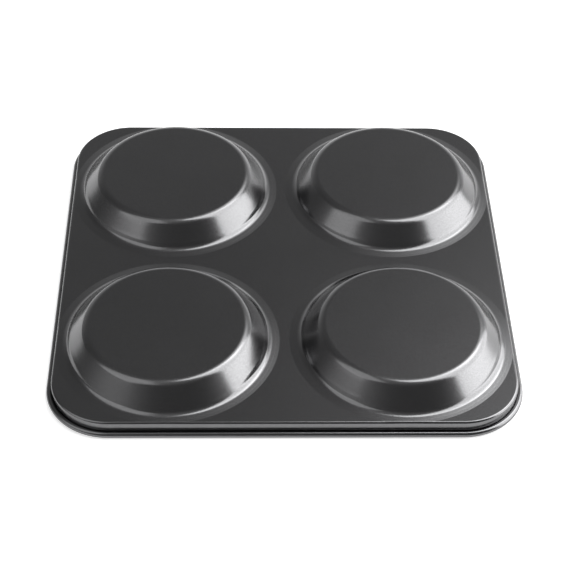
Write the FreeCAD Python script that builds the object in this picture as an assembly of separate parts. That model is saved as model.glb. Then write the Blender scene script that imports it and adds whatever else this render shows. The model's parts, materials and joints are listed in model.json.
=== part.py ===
import FreeCAD
import Part
import math
import os

# Yorkshire pudding tray, pressed from one coated steel sheet and laid upside down.
# Units are millimetres. +Z is up, and the origin is on the table under the tray's middle.

# Driving dimensions

SHEET = 0.5               # thickness of the coated steel
CORNER_RADIUS = 30.0      # outer face of the skirt, seen from above
RIM_HEIGHT = 8.6          # table to the deck's upper face
EDGE_BEND = 1.05          # sheet's middle line where the deck turns down into the skirt
CURL_DIAMETER = 3.3       # outside of the rolled edge
CURL_TURN = 303.0         # degrees the sheet turns from the skirt's foot to its cut edge

CUP_MOUTH = 111.4         # diameter where the cup leaves the deck
CUP_GAP = 8.6             # flat deck between the mouths of neighbouring cups
CUP_TO_RIM = 0.2          # flat deck between a cup's mouth and the edge bend
CUP_HEIGHT = 12.4         # deck's face to the cup bottom's face
WALL_SLOPE = 50.0         # degrees between the cup's wall and the deck
MOUTH_BEND = 8.0          # sheet's middle line between deck and wall
BOTTOM_BEND = 5.3         # sheet's middle line between wall and bottom

NOTCH_WIDTH = 2.5         # along the rim
NOTCH_DEPTH = 0.9         # into the lip from its cut edge, level across the curl
NOTCH_FROM_MIDDLE = 18.0  # each side of the middle of the left and right rims

# Sizes that follow from them

HALF_SHEET = SHEET / 2
CURL_RADIUS = (CURL_DIAMETER - SHEET) / 2
CUP_PITCH = CUP_MOUTH + CUP_GAP
DECK_EDGE = (CUP_PITCH + CUP_MOUTH) / 2 + CUP_TO_RIM
SKIRT = DECK_EDGE + EDGE_BEND + HALF_SHEET
CORNER_CENTRE = SKIRT - CORNER_RADIUS
DECK_MIDDLE = RIM_HEIGHT - HALF_SHEET
CURL_CENTRE_HEIGHT = CURL_DIAMETER / 2
SKIRT_LENGTH = DECK_MIDDLE - EDGE_BEND - CURL_CENTRE_HEIGHT
DECK_REACH = CORNER_RADIUS - HALF_SHEET - EDGE_BEND

UP = FreeCAD.Vector(0, 0, 1)
OUTWARD = 0.0
INWARD = 180.0
DOWN_TURN = -90.0
SIDES = (0, 90, 180, 270)


# The sheet's section, walked along its middle line in the plane of radius and height

def direction(angle):
    """Unit vector in the section plane, measured in degrees from outward towards up."""
    return FreeCAD.Vector(math.cos(math.radians(angle)), 0, math.sin(math.radians(angle)))


def side_point(point, heading, side):
    """Point on one face of the sheet beside a point of its middle line."""
    return point + direction(heading + 90) * (side * HALF_SHEET)


def straight(length):
    """Step of a section that runs straight on."""
    return (length, 0.0, 0.0)


def bend(radius, turn):
    """Step of a section that turns by some degrees, to the left where they are positive."""
    return (0.0, radius, turn)


def sheet_section(start, heading, steps):
    """Closed face of the sheet's thickness along straights and bends."""
    faces = {1: [], -1: []}
    point = start
    ends = [(start, heading)]
    for length, radius, turn in steps:
        hand = math.copysign(1, turn)
        pivot = point + direction(heading + 90) * (hand * radius)
        middle_heading = heading + turn / 2
        end_heading = heading + turn
        end = point + direction(heading) * length
        if turn:
            middle = pivot - direction(middle_heading + 90) * (hand * radius)
            end = pivot - direction(end_heading + 90) * (hand * radius)
        for side in faces:
            first = side_point(point, heading, side)
            last = side_point(end, end_heading, side)
            if turn:
                between = side_point(middle, middle_heading, side)
                faces[side].append(Part.Arc(first, between, last).toShape())
            else:
                faces[side].append(Part.LineSegment(first, last).toShape())
        point = end
        heading = end_heading
        ends.append((end, heading))
    caps = []
    for end, end_heading in (ends[0], ends[-1]):
        near = side_point(end, end_heading, 1)
        far = side_point(end, end_heading, -1)
        caps.append(Part.LineSegment(near, far).toShape())
    edges = Part.__sortEdges__(faces[1] + faces[-1] + caps)
    return Part.Face(Part.Wire(edges))


# Rim: edge bend, skirt and curl, drawn outward from the axis of a corner

def rim_section():
    """The rim's sheet, from the deck's edge to the curl's cut lip."""
    start = FreeCAD.Vector(DECK_REACH, 0, DECK_MIDDLE)
    steps = [
        bend(EDGE_BEND, DOWN_TURN),
        straight(SKIRT_LENGTH),
        bend(CURL_RADIUS, CURL_TURN),
    ]
    return sheet_section(start, OUTWARD, steps)


def rim_pieces():
    """The rim along four straight sides and round four corners."""
    pieces = []
    for angle in SIDES:
        side = rim_section()
        side.translate(FreeCAD.Vector(CORNER_CENTRE, -CORNER_CENTRE, 0))
        side = side.extrude(FreeCAD.Vector(0, 2 * CORNER_CENTRE, 0))
        corner = rim_section().revolve(FreeCAD.Vector(), UP, 90)
        corner.translate(FreeCAD.Vector(CORNER_CENTRE, CORNER_CENTRE, 0))
        for piece in (side, corner):
            piece.rotate(FreeCAD.Vector(), UP, angle)
            pieces.append(piece)
    return pieces


# Deck: the flat sheet between the rim and the cups

def cup_centres():
    """Axes of the four cups on the deck."""
    half = CUP_PITCH / 2
    return [FreeCAD.Vector(x, y, 0) for x in (-half, half) for y in (-half, half)]


def rounded_square(reach):
    """Outline with the rim's corner centres, lying this far outside them."""
    edges = []
    for angle in SIDES:
        foot = FreeCAD.Vector(CORNER_CENTRE + reach, -CORNER_CENTRE, 0)
        head = FreeCAD.Vector(CORNER_CENTRE + reach, CORNER_CENTRE, 0)
        centre = FreeCAD.Vector(CORNER_CENTRE, CORNER_CENTRE, 0)
        side = Part.LineSegment(foot, head).toShape()
        corner = Part.makeCircle(reach, centre, UP, 0, 90)
        for edge in (side, corner):
            edge.rotate(FreeCAD.Vector(), UP, angle)
            edges.append(edge)
    return Part.Wire(Part.__sortEdges__(edges))


def deck():
    """The flat sheet, with a hole where each cup is drawn out of it."""
    plate = Part.Face(rounded_square(DECK_REACH)).extrude(UP * SHEET)
    for centre in cup_centres():
        plate = plate.cut(Part.makeCylinder(CUP_MOUTH / 2, SHEET, centre))
    plate.translate(UP * (DECK_MIDDLE - HALF_SHEET))
    return plate


# Cups: each one is a spun section, from the deck up its wall to the flat bottom

def cup():
    """One cup on the Z axis."""
    slope = math.radians(WALL_SLOPE)
    bends = MOUTH_BEND + BOTTOM_BEND
    wall = (CUP_HEIGHT - bends * (1 - math.cos(slope))) / math.sin(slope)
    flat = CUP_MOUTH / 2 - bends * math.sin(slope) - wall * math.cos(slope)
    start = FreeCAD.Vector(CUP_MOUTH / 2, 0, DECK_MIDDLE)
    steps = [
        bend(MOUTH_BEND, -WALL_SLOPE),
        straight(wall),
        bend(BOTTOM_BEND, WALL_SLOPE),
        straight(flat),
    ]
    return sheet_section(start, INWARD, steps).revolve(FreeCAD.Vector(), UP, 360)


def cups():
    """The four cups on their axes."""
    pieces = []
    for centre in cup_centres():
        piece = cup()
        piece.translate(centre)
        pieces.append(piece)
    return pieces


# Notches: small breaks in the curl's cut lip, two in each of the left and right rims

def notches():
    """Blocks that clear the lip and stop short of the skirt and of the curl's lower half."""
    past_top = math.radians(CURL_TURN - 270)
    lip_edge = SKIRT - HALF_SHEET + CURL_RADIUS * (1 - math.sin(past_top))
    clear_of_skirt = (lip_edge - SKIRT) / 2
    height = CURL_DIAMETER / 2 + SHEET
    blocks = []
    for side in (-1, 1):
        for end in (-1, 1):
            block = Part.makeBox(NOTCH_DEPTH + clear_of_skirt, NOTCH_WIDTH, height)
            block.translate(FreeCAD.Vector(
                lip_edge - clear_of_skirt,
                end * NOTCH_FROM_MIDDLE - NOTCH_WIDTH / 2,
                CURL_CENTRE_HEIGHT,
            ))
            if side < 0:
                block.rotate(FreeCAD.Vector(), UP, 180)
            blocks.append(block)
    return blocks


def tray():
    """The whole sheet as one solid."""
    pieces = rim_pieces() + cups()
    sheet = deck().multiFuse(pieces).removeSplitter()
    return sheet.cut(notches()).removeSplitter()


def main():
    os.makedirs("parts", exist_ok=True)
    shape = tray()
    solid = shape.Solids[0]
    box = solid.optimalBoundingBox(False)
    print("solids", len(shape.Solids), "valid", solid.isValid(), "volume", round(solid.Volume, 1))
    print("size", round(box.XLength, 3), round(box.YLength, 3), round(box.ZLength, 3))
    solid.exportStep("parts/tray.step")


main()
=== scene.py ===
# %% [markdown]
# # A yorkshire pudding tray, upside down on a white table
# The tray is one thin steel sheet with a dark satin coating. Four wide cups are pressed out of it,
# its edge is bent over into a short skirt, and the foot of the skirt is rolled into a curl.
# The measured model comes first, and everything here is built round it at the same size.

# %% Load the measured model
import json
import math

import bmesh
import bpy
from mathutils import Matrix, Vector

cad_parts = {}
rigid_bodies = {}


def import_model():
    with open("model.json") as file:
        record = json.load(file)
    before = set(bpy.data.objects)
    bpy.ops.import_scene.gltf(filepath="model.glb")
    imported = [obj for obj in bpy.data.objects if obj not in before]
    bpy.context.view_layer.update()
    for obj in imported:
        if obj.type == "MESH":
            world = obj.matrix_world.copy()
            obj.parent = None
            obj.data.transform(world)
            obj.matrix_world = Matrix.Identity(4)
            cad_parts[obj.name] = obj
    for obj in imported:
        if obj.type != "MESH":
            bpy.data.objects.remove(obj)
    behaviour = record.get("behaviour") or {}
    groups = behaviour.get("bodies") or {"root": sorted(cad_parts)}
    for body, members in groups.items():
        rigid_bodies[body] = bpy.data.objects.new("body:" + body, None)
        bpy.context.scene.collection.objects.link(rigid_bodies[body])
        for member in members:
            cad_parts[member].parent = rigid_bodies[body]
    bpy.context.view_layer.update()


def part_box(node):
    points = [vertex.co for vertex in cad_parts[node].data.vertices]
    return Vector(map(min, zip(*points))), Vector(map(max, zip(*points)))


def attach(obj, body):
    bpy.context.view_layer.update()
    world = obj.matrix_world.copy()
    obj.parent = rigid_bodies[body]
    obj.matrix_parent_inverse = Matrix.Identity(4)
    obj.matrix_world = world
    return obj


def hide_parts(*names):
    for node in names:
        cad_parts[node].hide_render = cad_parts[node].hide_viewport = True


for leftover in list(bpy.data.objects):
    bpy.data.objects.remove(leftover)
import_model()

# %% [markdown]
# ## Sizes
# A pressed tray is described by a few sizes of its sheet's middle line: the overall width, the height
# of the rim, the bends and the slope of the cup's wall. The overall width and height are read from
# the measured model, and the bends are written here in millimetres.

# %% Sizes of the sheet
MM = 0.001
TOUCHING = 0.001 * MM
low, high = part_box("tray")
OVERALL = high.x - low.x
SHEET = 0.5 * MM
CORNER_RADIUS = 30.0 * MM
RIM_HEIGHT = 8.6 * MM
EDGE_BEND = 1.05 * MM
CURL_DIAMETER = 3.3 * MM
CURL_TURN = 303.0

CUP_CENTRE = 60.0 * MM
CUP_MOUTH = 111.4 * MM
CUP_HEIGHT = high.z - RIM_HEIGHT
WALL_SLOPE = 50.0
MOUTH_BEND = 8.0 * MM
BOTTOM_BEND = 5.3 * MM

NOTCH_WIDTH = 2.5 * MM
NOTCH_FROM_MIDDLE = 18.0 * MM
NOTCH_ARC = 38.7

HALF_SHEET = SHEET / 2
CURL_RADIUS = (CURL_DIAMETER - SHEET) / 2
SKIRT = OVERALL / 2 - CURL_DIAMETER + SHEET
CORNER_CENTRE = SKIRT - CORNER_RADIUS
DECK_EDGE = SKIRT - HALF_SHEET - EDGE_BEND
SKIRT_LENGTH = RIM_HEIGHT - HALF_SHEET - EDGE_BEND - CURL_DIAMETER / 2
print("deck flat from", round((CUP_CENTRE + CUP_MOUTH / 2) / MM, 2), "to", round(DECK_EDGE / MM, 2), "mm")

# %% [markdown]
# ## Walking a section
# The section of a pressed sheet is a walk: straight on, then a bend, then straight on again. A curve
# object with a bevel could trace it too, but its bends would only be near to a circle. Here a single
# vertex takes the walk. Extruding a vertex draws a straight step, and spinning it draws a bend as a
# true arc, so each bend keeps its radius however finely it is cut. The walk follows the sheet's upper
# face, which lies half a sheet to one side of the middle line that the sizes describe.


# %% A vertex that walks along a section
class Walk:
    """Draws the upper face of the sheet's section in the plane of X and Z."""

    def __init__(self, mesh, x, z, heading, side):
        self.mesh = mesh
        self.tip = mesh.verts.new((x, 0, z))
        self.heading = heading
        self.side = side

    def ahead(self, turned=0.0):
        angle = math.radians(self.heading + turned)
        return Vector((math.cos(angle), 0, math.sin(angle)))

    def straight(self, length, steps=1):
        for _ in range(steps):
            made = bmesh.ops.extrude_vert_indiv(self.mesh, verts=[self.tip])
            self.tip = made["verts"][0]
            bmesh.ops.translate(self.mesh, verts=[self.tip], vec=self.ahead() * (length / steps))

    def bend(self, radius, turn, steps):
        """Turns about a pivot beside the walk, to the left where the turn is positive."""
        hand = math.copysign(1, turn)
        face_radius = radius - hand * self.side * HALF_SHEET
        pivot = self.tip.co + self.ahead(90) * (hand * face_radius)
        made = bmesh.ops.spin(
            self.mesh, geom=[self.tip], cent=pivot, axis=(0, -1, 0), angle=math.radians(turn), steps=steps
        )
        self.tip = next(item for item in made["geom_last"] if isinstance(item, bmesh.types.BMVert))
        self.heading += turn


# %% [markdown]
# ## The rim
# The deck's edge turns down into the skirt over a tight bend, and the skirt's foot rolls outward into
# a curl that stops just short of touching the skirt again. The tray is the same in all four quarters,
# so one quarter is made and mirrored later. Its rim starts as a section.

# %% Section of the rim
SUPPORT = 0.08 * MM
BEND_STEPS = 10
SKIRT_STEPS = 3
CURL_STEPS = 30
LIP_STEPS = 5

quarter = bmesh.new()
rim = Walk(quarter, DECK_EDGE - SUPPORT, RIM_HEIGHT, 0.0, 1)
rim.straight(SUPPORT)
rim.bend(EDGE_BEND, -90.0, BEND_STEPS)
rim.straight(SKIRT_LENGTH, SKIRT_STEPS)
rim.bend(CURL_RADIUS, CURL_TURN - NOTCH_ARC, CURL_STEPS)
rim.bend(CURL_RADIUS, NOTCH_ARC, LIP_STEPS)
print("rim section:", len(quarter.edges), "edges")

# %% [markdown]
# ## Carrying the section round a quarter
# The section goes straight along one side, a quarter turn round the corner, and straight along the
# next side. Sweeping it in stages puts a ring of edges at each end of the notch, which is cut next.


# %% Rim of one quarter
def points_of(edges):
    """The points of some edges, each once."""
    return list(dict.fromkeys(point for edge in edges for point in edge.verts))


def far_edges(edges, way):
    """The edges that lie furthest along a way."""
    reach = max(edge.verts[0].co @ way for edge in edges)
    return [edge for edge in edges if all(abs(point.co @ way - reach) < TOUCHING for point in edge.verts)]


def sweep_along(mesh, edges, way, length, steps=1):
    """Draws faces from edges moved straight on, and returns the edges at their far end."""
    for _ in range(steps):
        made = bmesh.ops.extrude_edge_only(mesh, edges=edges)["geom"]
        moved = [item for item in made if isinstance(item, bmesh.types.BMEdge)]
        bmesh.ops.translate(mesh, verts=points_of(moved), vec=way * (length / steps))
        edges = far_edges(moved, way)
    return edges


ALONG_Y = Vector((0, 1, 0))
ALONG_X = Vector((-1, 0, 0))
CORNER_STEPS = 36
notch_start = NOTCH_FROM_MIDDLE - NOTCH_WIDTH / 2
past_notch = CORNER_CENTRE - notch_start - NOTCH_WIDTH

section = quarter.edges[:]
section = sweep_along(quarter, section, ALONG_Y, notch_start, steps=2)
section = sweep_along(quarter, section, ALONG_Y, NOTCH_WIDTH)
section = sweep_along(quarter, section, ALONG_Y, past_notch, steps=6)
turned = bmesh.ops.spin(
    quarter, geom=section, cent=(CORNER_CENTRE, CORNER_CENTRE, 0), axis=(0, 0, 1),
    angle=math.radians(90), steps=CORNER_STEPS,
)
section = [item for item in turned["geom_last"] if isinstance(item, bmesh.types.BMEdge)]
sweep_along(quarter, section, ALONG_X, CORNER_CENTRE, steps=9)
bmesh.ops.remove_doubles(quarter, verts=quarter.verts, dist=TOUCHING)
print("rim quarter:", len(quarter.faces), "faces")

# %% [markdown]
# ## The notches
# Two small breaks in the curl's cut lip sit on each of the left and right sides, a little way from
# the middle. The sweep stopped at both ends of a notch, so its faces only need to be taken away. They
# are found by how far round the curl they lie: the curl is at its top after 270 degrees.

# %% Notch in the lip
TOP_OF_CURL = 270.0
curl_x = (OVERALL - CURL_DIAMETER) / 2
curl_z = CURL_DIAMETER / 2
lip_end = CURL_TURN - TOP_OF_CURL


def in_notch(face):
    """True for a face of the lip that lies beside the notch's middle."""
    middle = face.calc_center_median()
    past_top = math.degrees(math.atan2(curl_x - middle.x, middle.z - curl_z))
    in_lip = middle.x > SKIRT + SUPPORT and lip_end - NOTCH_ARC < past_top < lip_end
    return in_lip and abs(middle.y - NOTCH_FROM_MIDDLE) < NOTCH_WIDTH / 2


lip_faces = [face for face in quarter.faces if in_notch(face)]
bmesh.ops.delete(quarter, geom=lip_faces, context="FACES")
print("notch:", len(lip_faces), "faces taken away")

# %% [markdown]
# ## A cup
# A cup is round, so it is one section spun about its axis: up from the deck over the mouth's bend,
# along the sloping wall, over the bottom's bend and in to the middle. The wall's length and the flat
# bottom's radius follow from the height, the slope and the two bends.

# %% Cup of one quarter
CUP_STEPS = 180
WALL_STEPS = 4
slope = math.radians(WALL_SLOPE)
bends = MOUTH_BEND + BOTTOM_BEND
wall = (CUP_HEIGHT - bends * (1 - math.cos(slope))) / math.sin(slope)
flat = CUP_MOUTH / 2 - bends * math.sin(slope) - wall * math.cos(slope)

rim_edges = set(quarter.edges)
cup = Walk(quarter, CUP_MOUTH / 2 + SUPPORT, RIM_HEIGHT, 180.0, -1)
cup.straight(SUPPORT)
cup.bend(MOUTH_BEND, -WALL_SLOPE, BEND_STEPS)
cup.straight(wall, WALL_STEPS)
cup.bend(BOTTOM_BEND, WALL_SLOPE, BEND_STEPS)
cup.straight(SUPPORT)
cup.straight(flat - SUPPORT, 2)
cup_section = [edge for edge in quarter.edges if edge not in rim_edges]
cup_verts = points_of(cup_section)
bmesh.ops.translate(quarter, verts=cup_verts, vec=(CUP_CENTRE, CUP_CENTRE, 0))
bmesh.ops.spin(
    quarter, geom=cup_verts + cup_section, cent=(CUP_CENTRE, CUP_CENTRE, 0), axis=(0, 0, 1),
    angle=math.radians(360), steps=CUP_STEPS, use_merge=True,
)
bmesh.ops.remove_doubles(quarter, verts=quarter.verts, dist=TOUCHING)
print("flat bottom is", round(2 * flat / MM, 1), "mm across; with the cup:", len(quarter.faces), "faces")

# %% [markdown]
# ## The deck
# What is left between the rim and the cup is flat. A grid of faces would have to be fitted to both
# outlines, and a fill does that by itself. Two straight edges close the outline along the tray's
# middle lines, and one fill covers everything between that outline and the cup's mouth.


# %% Deck of one quarter
def borders_deck(edge):
    """True for an edge at the deck's height with one face, unless it lies on a middle line."""
    level = all(abs(point.co.z - RIM_HEIGHT) < TOUCHING for point in edge.verts)
    on_x = all(point.co.y < TOUCHING for point in edge.verts)
    on_y = all(point.co.x < TOUCHING for point in edge.verts)
    return level and len(edge.link_faces) == 1 and not on_x and not on_y


outline = [edge for edge in quarter.edges if borders_deck(edge)]
corners = points_of(outline)
edge_on_x = min((point for point in corners if point.co.y < TOUCHING), key=lambda point: point.co.x)
edge_on_y = min((point for point in corners if point.co.x < TOUCHING), key=lambda point: point.co.y)
middle = quarter.verts.new((0, 0, RIM_HEIGHT))
outline.append(quarter.edges.new((middle, edge_on_x)))
outline.append(quarter.edges.new((middle, edge_on_y)))
bmesh.ops.triangle_fill(quarter, use_beauty=True, edges=outline, normal=(0, 0, 1))
print("with the deck:", len(quarter.faces), "faces")

# %% [markdown]
# ## The whole sheet
# The other three quarters are mirror images. Mirroring turns faces inside out, so their normals are
# worked out again once the seams are merged, and only then does the sheet get its thickness.

# %% Mirror, then give the sheet its thickness
SEAM = 0.002 * MM
for mirrored_way in ("X", "Y"):
    whole = quarter.verts[:] + quarter.edges[:] + quarter.faces[:]
    bmesh.ops.mirror(quarter, geom=whole, axis=mirrored_way, merge_dist=SEAM)
bmesh.ops.remove_doubles(quarter, verts=quarter.verts, dist=SEAM)
bmesh.ops.recalc_face_normals(quarter, faces=quarter.faces)
highest = max(quarter.faces, key=lambda face: face.calc_center_median().z)
if highest.normal.z < 0:
    bmesh.ops.reverse_faces(quarter, faces=quarter.faces)
bmesh.ops.solidify(quarter, geom=quarter.faces[:], thickness=SHEET)
loose = [edge for edge in quarter.edges if len(edge.link_faces) != 2]
print("sheet:", len(quarter.faces), "faces,", len(loose), "open edges, volume",
      round(quarter.calc_volume() / MM ** 3), "mm3")

# %% [markdown]
# ## Taking the measured tray's place
# The bends are shaded smooth and the sheet's cut edges stay sharp. The new sheet then stands in for
# the measured one, on the body that carries it.

# %% Pressed sheet as an object
SHARPER_THAN = 40.0
mesh = bpy.data.meshes.new("pressed_sheet")
quarter.to_mesh(mesh)
quarter.free()
mesh.shade_smooth()
mesh.set_sharp_from_angle(angle=math.radians(SHARPER_THAN))
tray = bpy.data.objects.new("pressed_sheet", mesh)
bpy.context.scene.collection.objects.link(tray)
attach(tray, "root")
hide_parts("tray")
print("pressed sheet:", len(mesh.vertices), "points")

# %% [markdown]
# ## Writing shaders as sums
# A small class wraps one socket, so that shader maths reads as Python: adding two of them adds a
# Math node. Every other node comes from one method that takes its type, settings and inputs.


# %% Sockets that can be added and multiplied
class Signal:
    """One output socket of a shader's node tree."""

    def __init__(self, tree, socket):
        self.tree = tree
        self.socket = socket

    def node(self, kind, settings, inputs, output=0):
        """Adds a node, sets it up and feeds its inputs with values or other signals."""
        made = self.tree.nodes.new(kind)
        for name, value in settings.items():
            setattr(made, name, value)
        for name, value in inputs.items():
            if isinstance(value, Signal):
                self.tree.links.new(value.socket, made.inputs[name])
            else:
                made.inputs[name].default_value = value
        return Signal(self.tree, made.outputs[output])

    def maths(self, operation, first, second=0.0):
        return self.node("ShaderNodeMath", {"operation": operation}, {0: first, 1: second})

    def dot(self, direction):
        """How far this vector reaches along a direction."""
        settings = {"operation": "DOT_PRODUCT"}
        return self.node("ShaderNodeVectorMath", settings, {0: self, 1: direction}, output=1)

    def __add__(self, other):
        return self.maths("ADD", self, other)

    def __radd__(self, other):
        return self.maths("ADD", other, self)

    def __sub__(self, other):
        return self.maths("SUBTRACT", self, other)

    def __rsub__(self, other):
        return self.maths("SUBTRACT", other, self)

    def __mul__(self, other):
        return self.maths("MULTIPLY", self, other)

    def __rmul__(self, other):
        return self.maths("MULTIPLY", other, self)

    def __abs__(self):
        return self.maths("ABSOLUTE", self)

    def at_least(self, least):
        return self.maths("MAXIMUM", self, least)

    def at_most(self, most):
        return self.maths("MINIMUM", self, most)

    def root(self):
        return self.maths("SQRT", self)


# %% [markdown]
# ## Grain of the coating
# A baked non-stick coating over steel is dark and satin, with a fine grain that breaks up its
# reflections and slow changes in gloss where it was sprayed a little thicker. Two noises make them:
# one finer than a millimetre, and one of a few centimetres.

# %% Grain and cloud
GRAIN_SCALE = 1600.0
CLOUD_SCALE = 40.0
coating = bpy.data.materials.new("non_stick_coating")
coating.use_nodes = True
tree = coating.node_tree
shader = tree.nodes["Principled BSDF"]
places = tree.nodes.new("ShaderNodeTexCoord")
place = Signal(tree, places.outputs["Object"])
grain = place.node("ShaderNodeTexNoise", {}, {"Vector": place, "Scale": GRAIN_SCALE, "Detail": 3.0})
cloud = place.node("ShaderNodeTexNoise", {}, {"Vector": place, "Scale": CLOUD_SCALE, "Detail": 2.0})
print("grain of about", round(1 / GRAIN_SCALE / MM, 2), "mm, clouds of about", 1 / CLOUD_SCALE / MM, "mm")

# %% [markdown]
# ## The ring round each mouth
# A thin light crescent lies just outside each mouth of the real tray. It may come from sheet that
# starts to rise a little outside the mouth, at a few degrees, before a tighter bend into the wall.
# That is a reading of the picture and not a measurement, and the measured sheet has one plain bend
# there. The two sections differ by 0.6 mm at most, which shows in the reflections and little in the
# outline, so the ring is made as bump: the height of the wanted section minus the modelled one.

# %% Height of the ring
RING_OUTSIDE = 57.5 * MM
RING_SLOPE = math.radians(6.0)
BEND_OUTSIDE = 54.0 * MM
TIGHT_BEND = 4.5 * MM


def rise(far, start, radius, tilt):
    """Height of a section that bends up from flat to a tilt and then runs straight on."""
    run = radius * math.sin(tilt)
    bent = (start - far).at_least(0.0).at_most(run)
    arc = radius - (radius * radius - bent * bent).root()
    return arc + (start - run - far).at_least(0.0) * math.tan(tilt)


east = abs(place.dot((1, 0, 0))) - CUP_CENTRE
north = abs(place.dot((0, 1, 0))) - CUP_CENTRE
far = (east * east + north * north).root()
cone = (RING_OUTSIDE - far).at_least(0.0) * math.tan(RING_SLOPE)
left_to_bend = math.atan(math.tan(slope) - math.tan(RING_SLOPE))
wanted = cone + rise(far, BEND_OUTSIDE, TIGHT_BEND, left_to_bend)
modelled = rise(far, CUP_MOUTH / 2, MOUTH_BEND, slope)
print("ring is", round((RING_OUTSIDE - BEND_OUTSIDE) / MM, 1), "mm wide")

# %% [markdown]
# ## The coating put together
# The coating mirrors more than plain paint does. A plain surface with a clear coat would mirror
# enough only at low angles, so it is shaded as a dark metal with a satin roughness.

# %% Non-stick coating
DARK_TONE, GRAIN_IN_TONE, CLOUD_IN_TONE = 0.130, 0.08, 0.01
SATIN, GRAIN_IN_GLOSS, CLOUD_IN_GLOSS = 0.17, 0.03, 0.02
GRAIN_DEPTH = 0.0025 * MM
BLUISH = 1.02
tone = DARK_TONE + grain * GRAIN_IN_TONE + cloud * CLOUD_IN_TONE
colour = place.node("ShaderNodeCombineColor", {}, {"Red": tone, "Green": tone, "Blue": tone * BLUISH})
roughness = SATIN + grain * GRAIN_IN_GLOSS + cloud * CLOUD_IN_GLOSS
height = wanted - modelled + grain * GRAIN_DEPTH
bump = place.node("ShaderNodeBump", {}, {"Height": height, "Strength": 1.0, "Distance": 1.0})
tree.links.new(colour.socket, shader.inputs["Base Color"])
tree.links.new(roughness.socket, shader.inputs["Roughness"])
tree.links.new(bump.socket, shader.inputs["Normal"])
shader.inputs["Metallic"].default_value = 1.0
mesh.materials.append(coating)
print("coating has", len(tree.nodes), "nodes")

# %% [markdown]
# ## Table
# The tray lies on a white table. More light would turn it plain white but would also wash out the
# tray, so the table glows a little instead, and only for the camera and for what mirrors or shows
# it. The tray still throws its shadow on it.

# %% White table
TABLE_RADIUS = 4.0
PAPER_GREY = 0.8
GLOW_SEEN = 0.6
GLOW_MIRRORED = 0.4
table_mesh = bmesh.new()
bmesh.ops.create_circle(table_mesh, cap_ends=True, segments=96, radius=TABLE_RADIUS)
table_data = bpy.data.meshes.new("table")
table_mesh.to_mesh(table_data)
table_mesh.free()
table = bpy.data.objects.new("table", table_data)
bpy.context.scene.collection.objects.link(table)

paper = bpy.data.materials.new("white_paper")
paper.use_nodes = True
tree = paper.node_tree
shader = tree.nodes["Principled BSDF"]
shader.inputs["Base Color"].default_value = (PAPER_GREY, PAPER_GREY, PAPER_GREY, 1)
shader.inputs["Roughness"].default_value = 1.0
shader.inputs["Specular IOR Level"].default_value = 0.0
shader.inputs["Emission Color"].default_value = (1, 1, 1, 1)
ray = tree.nodes.new("ShaderNodeLightPath")
seen = Signal(tree, ray.outputs["Is Camera Ray"])
mirrored = Signal(tree, ray.outputs["Is Glossy Ray"])
through = Signal(tree, ray.outputs["Is Transmission Ray"])
glow = seen * GLOW_SEEN + (mirrored + through) * GLOW_MIRRORED
tree.links.new(glow.socket, shader.inputs["Emission Strength"])
table_data.materials.append(paper)
print("table is", 2 * TABLE_RADIUS, "m across")

# %% [markdown]
# ## Surroundings
# A dark mirror shows what stands round it. The studio is a dim room with pale walls low behind the
# tray and to its right, a weaker one on the left behind the camera, a pale patch of ceiling, and
# light that spills past the back edge of the lamp on the right. Real walls could be built, but soft
# patches of light on the world are easier to move and leave nothing in the camera's way.


# %% Studio
def towards(elevation, azimuth):
    """The direction at an elevation, turned clockwise from the back, in degrees."""
    up, turned = math.radians(elevation), math.radians(azimuth)
    return (math.cos(up) * math.sin(turned), math.cos(up) * math.cos(turned), math.sin(up))


def pale_side(elevation, azimuth, tightness):
    """A soft patch round one direction, 1 at its middle."""
    facing = way.dot(towards(elevation, azimuth)).at_least(0.0)
    return way.maths("POWER", facing, tightness)


WIDE, MEDIUM, NARROW, SPILL = 8.0, 12.0, 20.0, 36.0
DIM_ROOM = 0.132
world = bpy.data.worlds.new("studio")
bpy.context.scene.world = world
world.use_nodes = True
tree = world.node_tree
sky = tree.nodes["Background"]
places = tree.nodes.new("ShaderNodeTexCoord")
way = Signal(tree, places.outputs["Generated"])

left_of_back = 0.64 * pale_side(0, -20, WIDE)
right_of_back = 1.57 * pale_side(0, 30, MEDIUM)
middle_of_back = 0.53 * pale_side(5, 0, NARROW)
right_wall = 1.39 * pale_side(0, 90, WIDE)
front_left_wall = 0.43 * pale_side(15, -120, WIDE)
ceiling = 0.25 * pale_side(90, 0, WIDE)
beside_key_panel = 4.0 * pale_side(50, 45, SPILL)
walls = left_of_back + right_of_back + middle_of_back + right_wall + front_left_wall
brightness = DIM_ROOM + walls + ceiling + beside_key_panel
tree.links.new(brightness.socket, sky.inputs["Strength"])
sky.inputs["Color"].default_value = (1, 1, 1, 1)
print("studio has", len(tree.nodes), "nodes")

# %% [markdown]
# ## Lamps
# Two flat panels light the tray: a tall bright one that stands close on the right and leans over
# it, and a wide weaker one high on the left. A panel's brightness is its power over its area and pi,
# so the power is worked out from the brightness, and a panel can be resized without a new value.


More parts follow.
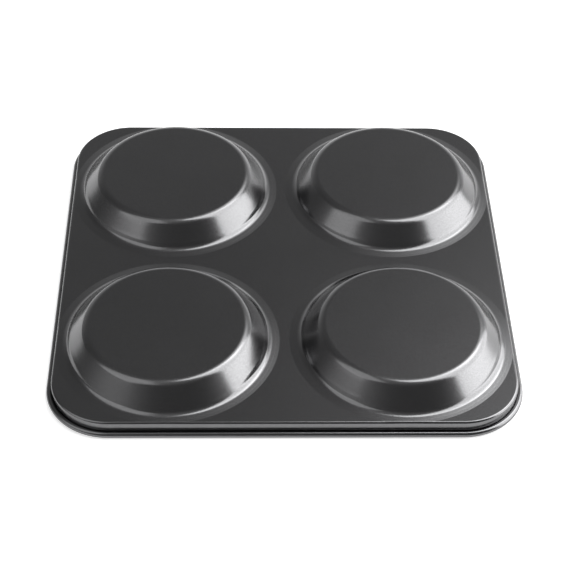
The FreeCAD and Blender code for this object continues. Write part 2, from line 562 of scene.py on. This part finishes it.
# %% Two panels
def panel(name, centre, width, height, turns, radiance):
    """A flat lamp, with its centre and size in millimetres and its turns in degrees."""
    lamp = bpy.data.lights.new(name, "AREA")
    lamp.shape = "RECTANGLE"
    lamp.size = width * MM
    lamp.size_y = height * MM
    lamp.energy = radiance * math.pi * lamp.size * lamp.size_y
    holder = bpy.data.objects.new(name, lamp)
    holder.location = Vector(centre) * MM
    holder.rotation_euler = [math.radians(turn) for turn in turns]
    holder.visible_camera = False
    bpy.context.scene.collection.objects.link(holder)
    print(name, "is", round(lamp.size, 2), "by", round(lamp.size_y, 2), "m")


KEY_CENTRE, KEY_TURNS = (321, 178, 1405), (81.49, 7.86, 87.16)
FILL_CENTRE, FILL_TURNS = (-660, -495, 948), (39.68, -24.7, -95.75)
panel("key_panel", KEY_CENTRE, width=570, height=2848, turns=KEY_TURNS, radiance=3.3)
panel("fill_panel", FILL_CENTRE, width=1043, height=993, turns=FILL_TURNS, radiance=0.82)

# %% [markdown]
# ## Camera
# The camera looks down at the tray from in front with a long lens, turned and tipped very slightly.
# Its three ways are worked out one after the other, because that keeps each small turn readable.

# %% Camera
CAMERA_PLACE = Vector((-20.369, -627.766, 586.639)) * MM
PITCH = math.radians(43.52)
YAW = math.radians(2.01)
ROLL = math.radians(1.42)
SENSOR = 36.0
FRAME_PIXELS = 570
FOCAL_PIXELS = 1576.7

forward = Vector((math.sin(YAW) * math.cos(PITCH), math.cos(YAW) * math.cos(PITCH), -math.sin(PITCH)))
level_right = Vector((math.cos(YAW), -math.sin(YAW), 0))
level_up = level_right.cross(forward)
right = level_right * math.cos(ROLL) + level_up * math.sin(ROLL)
up = level_up * math.cos(ROLL) - level_right * math.sin(ROLL)
lens = bpy.data.cameras.new("camera")
lens.sensor_width = SENSOR
lens.lens = SENSOR * FOCAL_PIXELS / FRAME_PIXELS
camera = bpy.data.objects.new("camera", lens)
aim = Matrix((right, up, -forward)).transposed().to_4x4()
camera.matrix_world = Matrix.Translation(CAMERA_PLACE) @ aim
bpy.context.scene.collection.objects.link(camera)
bpy.context.scene.camera = camera
bpy.context.scene.view_settings.view_transform = "Standard"
print("lens", round(lens.lens, 1), "mm")
